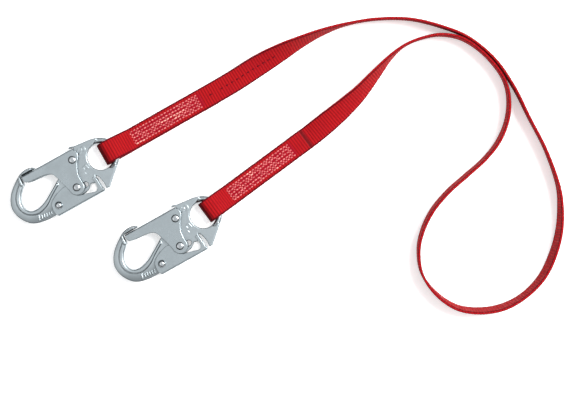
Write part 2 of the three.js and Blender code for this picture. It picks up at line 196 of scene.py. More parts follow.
# ------------------------------------------------------------------- materials
class Nodes:
    """Short ways to add shader nodes to a material."""

    def __init__(self, name):
        self.material = bpy.data.materials.new(name)
        self.material.use_nodes = True
        self.tree = self.material.node_tree
        self.shader = self.tree.nodes["Principled BSDF"]

    def add(self, kind, **settings):
        node = self.tree.nodes.new(kind)
        for key, value in settings.items():
            setattr(node, key, value)
        return node

    def link(self, source, target):
        self.tree.links.new(source, target)

    def math(self, operation, a, b=None):
        node = self.add("ShaderNodeMath", operation=operation)
        for socket, value in zip(node.inputs, (a, b)):
            if value is None:
                continue
            if isinstance(value, (int, float)):
                socket.default_value = value
            else:
                self.link(value, socket)
        return node.outputs[0]

    def mix(self, factor, a, b):
        node = self.add("ShaderNodeMix", data_type="RGBA", blend_type="MIX")
        for socket, value in ((node.inputs["Factor"], factor), (node.inputs[6], a),
                              (node.inputs[7], b)):
            if isinstance(value, (int, float)):
                socket.default_value = value
            elif isinstance(value, tuple):
                socket.default_value = (*value, 1)
            else:
                self.link(value, socket)
        return node.outputs[2]

    def ramp(self, value, low, high):
        """0 below low, 1 above high, straight between."""
        node = self.add("ShaderNodeMapRange")
        node.inputs["From Min"].default_value = low
        node.inputs["From Max"].default_value = high
        self.link(value, node.inputs["Value"])
        return node.outputs[0]

    def noise(self, scale, detail):
        node = self.add("ShaderNodeTexNoise")
        node.inputs["Scale"].default_value = scale
        node.inputs["Detail"].default_value = detail
        self.link(self.add("ShaderNodeTexCoord").outputs["Object"], node.inputs["Vector"])
        return node.outputs[0]

    def attribute(self, name):
        return self.add("ShaderNodeAttribute", attribute_name=name)

    def bump(self, height, strength, distance):
        node = self.add("ShaderNodeBump")
        node.inputs["Strength"].default_value = strength
        node.inputs["Distance"].default_value = distance
        self.link(height, node.inputs["Height"])
        self.link(node.outputs[0], self.shader.inputs["Normal"])


def web_material():
    """Red web: cross ribs of lengthwise yarns, painted shade in rib valleys, painted highlight on yarn
    crests, painted shade along the edges and at the fold, darker sealed cut ends.
    """
    n = Nodes("red_web")
    web = n.attribute("weave")           # along, across, how far heat sealed
    split = n.add("ShaderNodeSeparateXYZ")
    n.link(web.outputs["Vector"], split.inputs[0])
    along, across, sealed = split.outputs
    rib = n.math("DIVIDE", along, RIB_PITCH)
    phase = n.math("FRACT", rib)
    crest = n.math("SINE", n.math("MULTIPLY", phase, math.pi))
    # yarns lie side by side; each second rib is half a yarn over
    shift = n.math("FRACT", n.math("MULTIPLY", n.math("FLOOR", rib), 0.5))
    yarn = n.math("FRACT", n.math("ADD", n.math("DIVIDE", across, YARN_PITCH), shift))
    yarn_crest = n.math("SINE", n.math("MULTIPLY", yarn, math.pi))
    fuzz = n.noise(2600, 2)
    patches = n.noise(55, 3)
    off_centre = n.math("ABSOLUTE", across)
    # painted shade: the faces darken towards both edges of the web
    edge = n.math("MULTIPLY", n.ramp(off_centre, 0.42 * WEB_W, 0.45 * WEB_W),
                  n.ramp(off_centre, 0.4995 * WEB_W, 0.493 * WEB_W))
    painted_fold_shade = n.attribute("painted_fold_shade").outputs["Fac"]

    # painted shade: the darkest red lies in the rib valleys; painted highlight: the brightest red lies
    # on the yarn crests and also lightens the random fuzz
    painted_valley_shade, mid, bright = (0.20, 0.0025, 0.005), (0.35, 0.005, 0.008), (0.47, 0.010, 0.012)
    colour = n.mix(n.ramp(crest, 0.15, 0.9), painted_valley_shade, mid)
    colour = n.mix(n.math("MULTIPLY", n.ramp(yarn_crest, 0.55, 1.0), n.ramp(crest, 0.5, 1.0)),
                   colour, bright)
    colour = n.mix(n.math("MULTIPLY", n.ramp(patches, 0.42, 0.62), 0.28), colour,
                   (0.27, 0.004, 0.010))
    colour = n.mix(n.math("MULTIPLY", n.ramp(fuzz, 0.45, 0.7), 0.18), colour, bright)
    # darker where the stitching runs: partly the pressed weave, partly painted shade between the
    # threads
    pressed = n.attribute("pressed").outputs["Fac"]
    colour = n.mix(n.math("MULTIPLY", pressed, 0.45), colour, (0.26, 0.004, 0.020))
    # painted shade along both edges of the web
    colour = n.mix(n.math("MULTIPLY", edge, 0.85), colour, (0.06, 0.001, 0.005))
    # painted shade darkens the web at the fold round the hook's eye
    colour = n.mix(n.math("MULTIPLY", painted_fold_shade, 0.8), colour, (0.06, 0.002, 0.004))
    colour = n.mix(n.math("MULTIPLY", sealed, 0.8), colour, (0.10, 0.001, 0.003))
    n.link(colour, n.shader.inputs["Base Color"])
    n.link(n.math("SUBTRACT", 0.78, n.math("MULTIPLY", sealed, 0.35)), n.shader.inputs["Roughness"])
    n.shader.inputs["Specular IOR Level"].default_value = 0.08
    n.shader.inputs["Sheen Weight"].default_value = 0.04
    n.shader.inputs["Sheen Roughness"].default_value = 0.5
    n.shader.inputs["Sheen Tint"].default_value = (1.0, 0.2, 0.18, 1)
    height = n.math("ADD", n.math("MULTIPLY", yarn_crest, crest), n.math("MULTIPLY", fuzz, 0.3))
    n.bump(height, 0.7, 0.25 * MM)
    return n.material


def thread_material(name, pale, light, dark):
    """Twisted sewing thread, some stitches paler than others."""
    n = Nodes(name)
    tone = n.attribute("tone").outputs["Fac"]
    fine = n.noise(1800, 2)
    colour = n.mix(n.ramp(tone, 0.0, 0.85), dark, light)
    colour = n.mix(n.ramp(tone, 0.9, 1.0), colour, pale)
    colour = n.mix(n.math("MULTIPLY", n.ramp(fine, 0.4, 0.7), 0.35), colour, dark)
    n.link(colour, n.shader.inputs["Base Color"])
    n.shader.inputs["Roughness"].default_value = 0.6
    n.shader.inputs["Specular IOR Level"].default_value = 0.1
    n.bump(fine, 0.5, 0.1 * MM)
    return n.material


def steel_material(name, colour, roughness, grain):
    """Zinc plated steel: soft mottling, a fine grain, and painted shade from a mesh attribute."""
    n = Nodes(name)
    cloud = n.noise(60, 4)
    speck = n.noise(900, 3)
    crystals = n.add("ShaderNodeTexVoronoi", feature="F1")
    crystals.inputs["Scale"].default_value = 420
    n.link(n.add("ShaderNodeTexCoord").outputs["Object"], crystals.inputs["Vector"])
    shade = tuple(0.72 * c for c in colour)
    tint = n.mix(n.math("MULTIPLY", n.ramp(cloud, 0.35, 0.7), 0.6), colour, shade)
    light = tuple(min(1, 1.12 * c) for c in colour)
    tint = n.mix(n.math("MULTIPLY", n.ramp(speck, 0.5, 0.75), 0.35), tint, light)
    # painted shade: darker where the mesh attribute is set, mostly on the forging's flange
    painted_shade = n.attribute("painted_shade").outputs["Fac"]
    tint = n.mix(n.math("MULTIPLY", painted_shade, 0.85), tint, tuple(0.5 * c for c in colour))
    n.link(tint, n.shader.inputs["Base Color"])
    n.shader.inputs["Metallic"].default_value = 1.0
    rough = n.math("ADD", roughness, n.math("MULTIPLY", n.math("SUBTRACT", cloud, 0.5), 0.25))
    rough = n.math("ADD", rough, n.math("MULTIPLY", n.math("SUBTRACT", speck, 0.5), 0.12))
    n.link(rough, n.shader.inputs["Roughness"])
    relief = n.math("ADD", speck, n.math("MULTIPLY", crystals.outputs["Distance"], 0.6))
    n.bump(relief, grain, 0.12 * MM)
    return n.material


# ----------------------------------------------------------------- mesh helpers
def new_object(name, points, faces, material):
    mesh = bpy.data.meshes.new(name)
    mesh.from_pydata([tuple(p) for p in points], [], faces)
    mesh.materials.append(material)
    mesh.validate()
    mesh.update()
    mesh.shade_smooth()
    piece = bpy.data.objects.new(name, mesh)
    bpy.context.collection.objects.link(piece)
    return piece


def set_attribute(piece, name, values, kind):
    layer = piece.data.attributes.new(name, kind, "POINT")
    key = "vector" if kind == "FLOAT_VECTOR" else "value"
    layer.data.foreach_set(key, np.asarray(values, float).ravel())


def tube_faces(rings, around):
    """Faces of a tube whose rings of points follow each other, with both ends closed."""
    faces = []
    for i in range(rings - 1):
        for j in range(around):
            k = (j + 1) % around
            faces.append((i * around + j, i * around + k, (i + 1) * around + k,
                          (i + 1) * around + j))
    faces.append(tuple(reversed(range(around))))
    faces.append(tuple((rings - 1) * around + j for j in range(around)))
    return faces


# -------------------------------------------------------------------- web paths
def catmull_rom(rows, per_span):
    """Points of the uniform spline through rows, with straight run-outs."""
    rows = np.asarray(rows, float)
    rows = np.vstack([2 * rows[0] - rows[1], rows, 2 * rows[-1] - rows[-2]])
    out = []
    for i in range(1, len(rows) - 2):
        p0, p1, p2, p3 = rows[i - 1:i + 3]
        m1, m2 = (p2 - p0) / 2, (p3 - p1) / 2
        for t in np.arange(per_span) / per_span:
            out.append((2 * t**3 - 3 * t**2 + 1) * p1 + (t**3 - 2 * t**2 + t) * m1
                       + (3 * t**2 - 2 * t**3) * p2 + (t**3 - t**2) * m2)
    out.append(rows[-2])
    return np.array(out)


def lengths(line):
    steps = np.linalg.norm(np.diff(line, axis=0), axis=1)
    return np.concatenate([[0], np.cumsum(steps)])


def resample(columns, step):
    """Columns x, y, z, ... again, at even steps along x, y and z."""
    along = lengths(columns[:, :3])
    count = max(2, round(along[-1] / step) + 1)
    at = np.linspace(0, along[-1], count)
    return at, np.stack([np.interp(at, along, c) for c in columns.T], axis=1)


def tangents_of(line):
    t = np.gradient(line, axis=0)
    return t / np.linalg.norm(t, axis=1)[:, None]


def free_web_path():
    """Even points, across directions and face normals of the free web."""
    rows = []
    for i, (x, y, roll) in enumerate(ROUTE):
        angle = math.radians(roll)
        rest = WEB_W / 2 * abs(math.sin(angle)) + WEB_T / 2 * abs(math.cos(angle))
        # the first two points come off the upper ply of sewn end a
        rows.append((x, y, max(rest, 1.5 * WEB_T if i < 2 else 0), roll))
    _, even = resample(catmull_rom(rows, 24), RIB_PITCH / RIB_STEPS)
    line, roll = even[:, :3], np.radians(even[:, 3])[:, None]
    along = tangents_of(line)
    right = np.stack([along[:, 1], -along[:, 0], np.zeros(len(along))], axis=1)
    right /= np.linalg.norm(right, axis=1)[:, None]
    up = np.cross(right, along)
    across = right * np.cos(roll) - up * np.sin(roll)
    normal = up * np.cos(roll) + right * np.sin(roll)
    return line, across, normal


def fold_slope(join):
    """Angle at which the upper ply comes down from the fold to the sewn part."""
    away, rise = join - (SWING_AXIS - FOLD_TIP), MID_Z - WEB_T
    return math.asin(LOOP_R / math.hypot(away, rise)) + math.atan2(rise, away)


def sewn_path(end):
    """The web's line from the free web, through the fold, to the tail's end."""
    join = STITCH_START[end] - 2 * MM
    middle = LOOP_R + WEB_T / 2
    slope = fold_slope(join)
    axis = SWING_AXIS - FOLD_TIP
    low, high = WEB_T / 2, 1.5 * WEB_T
    free = ROUTE[0] if end == "a" else ROUTE[-1]
    meet = math.dist(free[:2], EYES[end].xy) - FOLD_TIP + LAP
    loop = [(join + 2 * MM, high)]
    for k in range(7):
        angle = math.pi / 2 - slope + slope * k / 6
        loop.append((axis + middle * math.cos(angle), MID_Z + middle * math.sin(angle)))
    for k in range(25):
        angle = math.pi / 2 + math.pi * k / 24
        loop.append((MID_Z + middle * math.cos(angle), MID_Z + middle * math.sin(angle)))
    if end == "a":                # the free web runs on from the upper ply
        side = [(meet, high), *loop, (TAIL_LENGTH, low)]
    else:                         # the free web runs on from the lower ply
        side = [(meet, low), *reversed(loop), (TAIL_LENGTH, high)]
    side = np.array([(s, 0, z) for s, z in side])
    _, even = resample(side, RIB_PITCH / RIB_STEPS)
    turn, eye = WEB_TURN[end], EYES[end]
    cos, sin = math.cos(turn), math.sin(turn)
    s = even[:, 0] + FOLD_TIP
    line = np.stack([eye.x + s * cos, eye.y + s * sin, even[:, 2]], axis=1)
    across = np.tile([-sin, cos, 0.0], (len(line), 1))
    normal = np.cross(across, tangents_of(line))
    return line, across, normal


def web_section():
    """The web's section as (across, out), in shares of its half width and thickness."""
    flat = [(f, 1.0) for f in np.linspace(-0.955, 0.955, 15)]
    edge = [(0.985, 0.86), (1.0, 0.5), (1.0, 0.0), (1.0, -0.5), (0.985, -0.86)]
    return flat + edge + [(-a, -b) for a, b in flat] + [(-a, -b) for a, b in edge]


def web_ribbon(name, path, start, way, material, sealed_from=None, sewn=(), fold=None):
    """A closed mesh of woven web. Its weave starts at start and runs on or back.

    sewn lists the stretches, as (from, to) along the path, that stitching presses flat, drawn darker
    partly for the pressed weave and partly as painted shade between the threads, and fold says where
    along the path painted shade darkens the web at the fold round the hook's eye.
    """
    line, across, normal = path
    along = lengths(line)
    section = web_section()
    total = along[-1]
    points, weave, pressed, painted_fold_shade = [], [], [], []
    rng = random.Random(7)
    wander = [rng.uniform(-1, 1) for _ in range(int(total / RIB_PITCH) + 3)]
    for i, s in enumerate(along):
        place = (start + way * s) / RIB_PITCH
        crest = math.sin(math.pi * (place % 1.0)) ** 0.6
        sealed = 0.0
        if sealed_from is not None:
            sealed = min(1.0, max(0.0, (s - sealed_from) / (0.8 * MM)))
        # darkening where the stitching runs: partly the pressed weave, partly painted shade between
        # the threads
        press = max((min(1.0, max(0.0, min(s - a, b - s) / (1.5 * MM) + 0.5))
                     for a, b in sewn), default=0.0)
        # painted shade at the fold: full within 5.6 mm of its middle, gone at 9.6 mm
        fold_shade = 0.0 if fold is None else min(1.0, max(0.0, 2.4 - abs(s - fold) / (4.0 * MM)))
        rib = RIB_DEPTH * (1 - crest) * (1 - sealed) + 0.35 * MM * sealed
        waver = 0.12 * MM * wander[int(s / RIB_PITCH)]
        for a, b in section:
            inner = min(1.0, (1 - abs(a)) / 0.06)
            half = WEB_T / 2 - rib * inner if abs(b) == 1.0 else WEB_T / 2 - 0.15 * MM
            wide = WEB_W / 2 - 0.12 * MM * (1 - crest) + (waver if abs(a) > 0.9 else 0)
            points.append(line[i] + across[i] * (a * min(wide, WEB_W / 2))
                          + normal[i] * (b * half))
            weave.append((start + way * s, a * WEB_W / 2, sealed))
            painted_fold_shade.append(fold_shade)
            pressed.append(press * min(1.0, max(0.0, (STITCH_WIDTH / 2 - abs(a) * WEB_W / 2)
                                                / (0.8 * MM) + 0.5)))
    piece = new_object(name, points, tube_faces(len(line), len(section)), material)
    set_attribute(piece, "weave", weave, "FLOAT_VECTOR")
    set_attribute(piece, "pressed", pressed, "FLOAT")
    set_attribute(piece, "painted_fold_shade", painted_fold_shade, "FLOAT")
    return piece


# ------------------------------------------------------------------------ thread
def stitches(name, runs, material, radius):
    """Short, flat, arched stitches. Each run is (start, end, out, tone), in metres."""
    points, faces, tones = [], [], []
    around, rings = 6, 7
    for start, end, out, tone in runs:
        start, end, out = Vector(start), Vector(end), Vector(out).normalized()
        along = (end - start).normalized()
        side = along.cross(out)
        base = len(points)
        for i in range(rings):
            f = i / (rings - 1)
            arch = math.sin(math.pi * f) ** 0.5
            thick = radius * (0.55 + 0.45 * arch)
            centre = start.lerp(end, f) + out * (radius * (0.8 * arch - 0.6))
            for j in range(around):
                angle = 2 * math.pi * j / around
                points.append(centre + side * (thick * math.cos(angle))
                              + out * (thick * 0.55 * math.sin(angle)))
                tones.append(tone)
        faces += [tuple(base + k for k in face) for face in tube_faces(rings, around)]
    piece = new_object(name, points, faces, material)
    set_attribute(piece, "tone", tones, "FLOAT")
    return piece


def sewn_point(end, s, w, z):
    """The point of a sewn end s from its fold tip, w off its middle and z up."""
    turn, eye = WEB_TURN[end], EYES[end]
    x = eye.x + (s + FOLD_TIP) * math.cos(turn) - w * math.sin(turn)
    y = eye.y + (s + FOLD_TIP) * math.sin(turn) + w * math.cos(turn)
    return (x, y, z)


def stitch_runs(end):
    """Five long rows of stitches and the short cross stitches that tie them."""
    rng = random.Random(11 if end == "a" else 23)
    s0 = STITCH_START[end]
    half = STITCH_WIDTH / 2 - 0.5 * MM
    pitch, rows = 4.0 * MM, 5
    count = round(STITCH_LENGTH / pitch)
    gap = 2 * half / (rows - 1)
    bright = {"a": {(2, k) for k in range(9, 17)} | {(0, 0), (0, 1), (0, 2), (1, 13), (1, 14)},
              "b": {(4, 7), (4, 8), (3, 8), (0, 15)}}[end]
    marks = []
    for row in range(rows):
        w = -half + row * gap
        for k in range(count):
            s = s0 + k * pitch
            tone = 1.0 if (row, k) in bright else rng.uniform(0.35, 0.88)
            space = 0.1 * MM if (row, k) in bright else 0.35 * MM
            marks.append(((s + space, w), (s + pitch - space, w), tone))
            if row < rows - 1 and (k in (0, count - 1) or rng.random() < 0.5):
                marks.append(((s, w + 0.7 * MM), (s, w + gap - 0.7 * MM), rng.uniform(0.2, 0.7)))
    runs = []
    for z, out in ((2 * WEB_T - 0.12 * MM, 1), (0.8 * MM, -1)):
        for a, b, tone in marks:
            stray = [rng.uniform(-0.3, 0.3) * MM for _ in range(4)]
            runs.append((sewn_point(end, a[0] + stray[0], a[1] + stray[1], z),
                         sewn_point(end, b[0] + stray[2], b[1] + stray[3], z),
                         (0, 0, out), min(1.0, tone)))
    return runs


def tracer_runs(path):
    """Dark dashes along the middle of strand a, from its sewn end on."""
    runs = []
    pitch, dash, count = 7 * MM, 4.2 * MM, 13
    line, _, normal = path
    along = lengths(line)
    for i in range(count):
        s = TAIL_LENGTH - 6 * MM + i * pitch
        if s + dash < SEWN_LENGTH - 0.5 * MM:
            z = 2 * WEB_T - 0.1 * MM
            runs.append((sewn_point("a", s, 0, z), sewn_point("a", s + dash, 0, z),
                         (0, 0, 1), 0.5))
        elif s > SEWN_LENGTH:
            first, last = (int(np.searchsorted(along, v - SEWN_LENGTH)) for v in (s, s + dash))
            lift = WEB_T / 2 - 0.1 * MM
            runs.append((line[first] + normal[first] * lift, line[last] + normal[last] * lift,
                         normal[first], 0.5))
    return runs


# ------------------------------------------------------------------- hook shapes
def arc(centre, r, start, stop, steps):
    """Points of an arc in millimetres, angles in degrees."""
    angles = np.radians(np.linspace(start, stop, steps + 1))
    return [(centre[0] + r * math.cos(a), centre[1] + r * math.sin(a)) for a in angles]


def smooth(points, per_span=6):
    return [tuple(p) for p in catmull_rom(points, per_span)]


def body_outline():
    return [
        *smooth([
            (-71.6, 24.1), (-71.9, 25.9), (-75.6, 27.9), (-81.4, 28.7), (-88.8, 27.2), (-96, 22.9),
            (-106.3, 15.0), (-113.2, 6), (-116.3, -2.8), (-115.6, -12), (-112.4, -19.6),
            (-108.1, -25.6), (-103.4, -29.4), (-96.9, -32.1), (-86.6, -33.9), (-77, -34),
        ]),
        (-67, -33.2), (-55, -31.2), (-42, -28.9),
        *smooth([(-34, -27.8), (-29.4, -26.6), (-26.2, -23.8), (-23.4, -22.2), (-19.6, -23.4),
                 (-17.2, -22.2), (-15, -17.6)]),
        *smooth([(-14.2, -16), (-12.2, -19.5), (-10.9, -24.5), (-10.3, -30), (-10.9, -35.4)]),
        (-6.8, -35.4),
        *arc(EYE_RING, EYE_R + EYE_BAR_R, -58, -56.5, 1),
        *arc(EYE_RING, EYE_R, -56.5, -72, 4),
        *arc(EYE_HOLE, EYE_HOLE_R, -84, -264, 50),
        *arc(EYE_RING, EYE_R, 78, 70, 2),
        *arc(EYE_RING, EYE_R + EYE_BAR_R, 74, 78, 1),
        (-0.4, 22.8), (-13.2, 24.1), (-20.2, 24.9),
        *smooth([(-22.4, 25.9), (-25.4, 26.7), (-27.3, 25.4)]),
        *arc(GATE_PIVOT, 13.5, 82, 57, 8),
        *arc(GATE_PIVOT, 9.2, 57, 205, 20),
        *smooth([
            (-42, 5.2), (-48, 3.2), (-53.6, 0.9), (-60.6, -3.2), (-68.7, -8), (-78.6, -13.7),
            (-86.8, -16.6), (-93.4, -17.2), (-98.5, -15.9), (-102.2, -11.8), (-103.7, -6.2),
            (-102.6, -0.2), (-99, 5.8), (-94.6, 10.2), (-91.2, 14.6), (-90.6, 19),
        ]),
        (-90.6, 23.8),
    ]


BEAD_INNER = [
    (-91.6, 14.6), (-94.8, 10.4), (-99.2, 5.9), (-102.8, -0.2), (-103.9, -6.3), (-102.4, -12),
    (-98.6, -16.1), (-93.4, -17.4), (-86.7, -16.8), (-78.5, -13.9), (-68.6, -8.2),
    (-60.5, -3.4), (-56.5, -1.2),
]
BEAD_OUTER = [
    (-56.2, -5.4), (-61.2, -8.2), (-69.2, -13.2), (-77, -18.8), (-84.8, -22.2), (-93, -23.2),
    (-100, -20.8), (-105.2, -16.6), (-108.6, -10.6), (-109.3, -3.6), (-107.6, 3.2),
    (-103.6, 9.4), (-98.4, 14.6), (-94, 18.4),
]

NOSE_RIM = [
    *smooth([(-92.6, 12.4), (-94.4, 15.2), (-94.2, 19.2), (-92.4, 23.2), (-88, 25.9),
             (-81.4, 27.3), (-76, 26.7)]),
    (-74.2, 25.4), (-75.6, 24.6), (-89.8, 24.4), (-90.7, 23.6), (-90.8, 19), (-91.2, 13.8),
]


def gate_outline():
    return [
        (-22.6, GATE_TOP), (-88.5, GATE_TOP), (-88.3, 16.4),
        *smooth([(-86.6, 14.6), (-81.4, 13.2), (-73.1, 12.6), (-64.3, 11.6), (-59.2, 10.0),
                 (-55.9, 7.2), (-53.4, 1.4), (-50.2, -9.4), (-48.2, -17.4)]),
        *arc(LOCK_PIN, 8.8, 186, 350, 24),
        *smooth([(-31, -12), (-30.3, -4.6), (-25.6, 5.4), (-22.4, 9.4), (-19.8, 15),
                 (-20.6, 19.6)]),
    ]


def lever_outline():
    return [
        *smooth([(-73.6, LEVER_BOTTOM), (-75.2, -32.4), (-75.2, -25.6), (-73.6, -20.6), (-71, -17.6)]),
        *smooth([(-66, -14.8), (-60, -12.4), (-53.4, -10.7), (-45.5, -11.6)]),
        (-44, -25.2), (-41, -27.6), (-33, -29.4), (-27.6, -31.2),
        *smooth([(-23.4, -32.6), (-20.2, -31.2), (-18.6, -27.6), (-18.7, -21.6), (-19.4, -17)]),
        (-15.8, -16.4), (-14.9, -20.4), (-14.6, -31), (-13.6, LEVER_BOTTOM),
    ]


def plate(outline, low, high, bevel, holes=()):
    """A flat slab of an outline, in millimetres, with rounded edges, as a mesh."""
    curve = bpy.data.curves.new("plate", "CURVE")
    curve.dimensions = "2D"
    curve.fill_mode = "BOTH"
    curve.extrude = (high - low) / 2 - bevel
    curve.bevel_depth = bevel
    curve.bevel_resolution = 2
    curve.offset = -bevel
    for ring in (outline, *holes):
        spline = curve.splines.new("POLY")
        spline.points.add(len(ring) - 1)
        for point, (x, y) in zip(spline.points, ring):
            point.co = (x, y, 0, 1)
        spline.use_cyclic_u = True
    holder = bpy.data.objects.new("plate", curve)
    mesh = bpy.data.meshes.new_from_object(holder)
    bpy.data.objects.remove(holder)
    bpy.data.curves.remove(curve)
    points = np.array([v.co for v in mesh.vertices]) + (0, 0, (low + high) / 2)
    faces = [tuple(p.vertices) for p in mesh.polygons]
    bpy.data.meshes.remove(mesh)
    return points, faces


def ring_solid(centre, r, bar):
    """A ring of round bar."""
    steps, around = 96, 20
    points = []
    for i in range(steps):
        a = 2 * math.pi * i / steps
        for j in range(around):
            b = 2 * math.pi * j / around
            rho = r + bar * math.cos(b)
            points.append((centre[0] + rho * math.cos(a), centre[1] + rho * math.sin(a),
                           bar * math.sin(b)))
    faces = []
    for i in range(steps):
        for j in range(around):
            k, n = (j + 1) % around, (i + 1) % steps
            faces.append((i * around + j, n * around + j, n * around + k, i * around + k))
    return np.array(points), faces


def weld(name, solids, voxel, rounds, material):
    """Overlapping solids, in millimetres, fused into one skin with soft edges."""
    points, faces = [], []
    for solid_points, solid_faces in solids:
        base = len(points)
        points += list(solid_points)
        faces += [tuple(base + k for k in face) for face in solid_faces]
    piece = new_object(name, points, faces, material)
    remesh = piece.modifiers.new("fuse", "REMESH")
    remesh.mode = "VOXEL"
    remesh.voxel_size = voxel
    remesh.use_smooth_shade = True
    soften = piece.modifiers.new("soften", "SMOOTH")
    soften.factor = 0.5
    soften.iterations = rounds
    return apply_all(piece)


def apply_all(piece):
    """The piece again with its modifiers applied."""
    graph = bpy.context.evaluated_depsgraph_get()
    mesh = bpy.data.meshes.new_from_object(piece.evaluated_get(graph))
    piece.modifiers.clear()
    old = piece.data
    piece.data = mesh
    bpy.data.meshes.remove(old)
    mesh.shade_smooth()
    return piece


def place(piece, end, name):
    """A copy of a hook piece made in millimetres round the origin, at its hook."""
    mesh = piece.data.copy()
    points = np.zeros(len(mesh.vertices) * 3)
    mesh.vertices.foreach_get("co", points)
    points = points.reshape(-1, 3) * MM + np.array(EYES[end])
    mesh.vertices.foreach_set("co", points.ravel())
    mesh.update()
    copy = bpy.data.objects.new(f"{name}_{end}", mesh)
    bpy.context.collection.objects.link(copy)
    return copy


def cast_marks():
    """Plain raised marks: bars low on the bend, bars, a ring and a square by the eye."""
    def bar(x, y, long, wide, turn):
        c, d = math.cos(math.radians(turn)), math.sin(math.radians(turn))
        corners = ((-long, -wide), (long, -wide), (long, wide), (-long, wide))
        return [(x + (u * c - v * d) / 2, y + (u * d + v * c) / 2) for u, v in corners]

    top = 4.32
    marks = [plate(bar(-94.2, -27.4, 6.4, 1.9, 74), -top, top, 0.3)]
    for k in range(5):
        marks.append(plate(bar(-90.6 + 2.9 * k, -28.2 - 0.3 * k, 4.6, 1.2, 80), -top, top, 0.3))
    marks.append(plate(bar(-18.4, 18.6, 4.6, 1.1, 20), -top, top, 0.3))
    marks.append(plate(bar(-17.4, 14.6, 3.8, 1.1, 20), -top, top, 0.3))
    marks.append(plate(arc((-12.6, 16.8), 2.9, 0, 345, 23), -top, top, 0.3,
                       [arc((-12.6, 16.8), 1.7, 0, 345, 23)]))
    marks.append(plate(bar(-20.4, -3.4, 5.6, 5.6, 16), -top, top, 0.3,
                       [bar(-20.4, -3.4, 3.2, 3.2, 16)]))
    marks.append(plate(bar(-23.6, -8.2, 3.4, 1.2, 106), -top, top, 0.3))
    return marks


def pivot_hole(centre, r=PIVOT_HOLE):
    return arc(centre, r, 0, 345, 23)


def hook_forging(material):
    """Nose, throat, spine and eye in one skin, with its lower flange drawn thinner."""
    reach = math.dist(LOCK_PIN, GATE_PIVOT)
    start = math.degrees(math.atan2(LOCK_PIN[1] - GATE_PIVOT[1], LOCK_PIN[0] - GATE_PIVOT[0]))
    stop, half = start + GATE_OPEN, PIN_HOLE
    slot = [
        *arc(GATE_PIVOT, reach + half, start, stop, 10),
        *arc(arc(GATE_PIVOT, reach, stop, stop, 0)[0], half, stop, stop + 180, 10)[1:-1],
        *arc(GATE_PIVOT, reach - half, stop, start, 10),
        *arc(LOCK_PIN, half, start + 180, start + 360, 10)[1:-1],
    ]
    holes = [slot, pivot_hole(GATE_PIVOT), pivot_hole(LEVER_PIVOT)]
    bead = smooth(BEAD_INNER) + smooth(BEAD_OUTER)
    boss_r, boss_low = 6.2, 6.1                 # boss round the gate's pivot, underside
    solids = [
        plate(body_outline(), -BODY_HALF, BODY_HALF, 1.1, holes),
        plate(bead, -BEAD_HALF, BEAD_HALF, 1.9),
        plate(NOSE_RIM, -NOSE_HALF, NOSE_HALF, 0.9),
        ring_solid(EYE_RING, EYE_R, EYE_BAR_R),
        plate(pivot_hole(GATE_PIVOT, boss_r), -boss_low, 0, 0.3, [pivot_hole(GATE_PIVOT)]),
        *cast_marks(),
    ]
    piece = weld("forging", solids, 0.42, 6, material)
    # outside the bead the flange gets thinner and, by painted shade, darker towards the hook's edge
    rim = np.array(smooth(BEAD_OUTER))
    draft, widest, margin = 0.035, 8.0, 1.0     # share per mm, mm, mm
    # painted shade: slight over the whole forging, growing on the flange towards its outer edge
    painted_shade = np.full(len(piece.data.vertices), 0.15)
    for i, vertex in enumerate(piece.data.vertices):
        x, y, z = vertex.co
        if x < FLANGE_END and abs(z) < BODY_HALF + 0.2:
            gap = np.hypot(rim[:, 0] - x, rim[:, 1] - y)
            near = rim[gap.argmin()]
            if math.dist((x, y), BEND_MIDDLE) - margin > math.dist(near, BEND_MIDDLE):
                out = min(widest, max(0.0, gap.min() - margin))
                vertex.co.z *= 1 - draft * out
                painted_shade[i] = min(1.0, 0.35 + 0.12 * out)
    set_attribute(piece, "painted_shade", painted_shade, "FLOAT")
    return piece


def bent_strip(edge, x_low, x_high, inner, outer):
    """The bent part of a channel: a sheet along y = edge that turns down both sides.

    The channel opens towards y = 0; the bends end BEND_R from the edge.
    """
    way = 1 if edge > 0 else -1
    sheet = outer - inner
    skin = [(outer, edge - way * (BEND_R + 0.6))]
    for k in range(9):
        a = math.pi / 2 * k / 8
        skin.append((outer - BEND_R + BEND_R * math.cos(a),
                     edge - way * (BEND_R - BEND_R * math.sin(a))))
    skin += [(-z, y) for z, y in reversed(skin)]
    back = [(inner, edge - way * (BEND_R + 0.6)), (inner, edge - way * (sheet + 0.5)),
            (inner - 0.5, edge - way * sheet)]
    back += [(-z, y) for z, y in reversed(back)]
    ring = skin + back[::-1]
    points = [(x, y, z) for x in (x_low, x_high) for z, y in ring]
    return np.array(points), tube_faces(2, len(ring))


def sheet_channel(name, outline, edge, ends, inner, outer, holes, material):
    """Two flat sides cut to an outline and the bent strip that joins them."""
    way = 1 if edge > 0 else -1
    limit = edge - way * BEND_R
    side = [(x, min(y, limit) if way > 0 else max(y, limit)) for x, y in outline]
    solids = [
        plate(side, inner, outer, 0.35, holes),
        plate(side, -outer, -inner, 0.35, holes),
        bent_strip(edge, *ends, inner, outer),
    ]
    return weld(name, solids, 0.33, 4, material)


def turned(profile, steps, material, name):
    """A solid of revolution about Z, from its profile of (radius, height)."""
    points = []
    for r, z in profile:
        for j in range(steps):
            a = 2 * math.pi * j / steps
            points.append((r * math.cos(a), r * math.sin(a), z))
    faces = tube_faces(len(profile), steps)
    return new_object(name, points, faces, material)


def rivet(name, shank, grip, rise, material):
    """Rivet with a domed head at each end, the heads' undersides at +-grip."""
    upper = []
    for k in range(17):
        r = 0.01 + (HEAD_R - 0.01) * (k / 16) ** 0.8
        upper.append((r, grip + 0.15 + (rise - 0.15) * (1 - (r / HEAD_R) ** 3.2)))
    upper += [(HEAD_R - 0.15, grip), (shank, grip)]
    lower = [(r, -z) for r, z in reversed(upper)]
    return turned([*upper, *lower][::-1], 48, material, name)


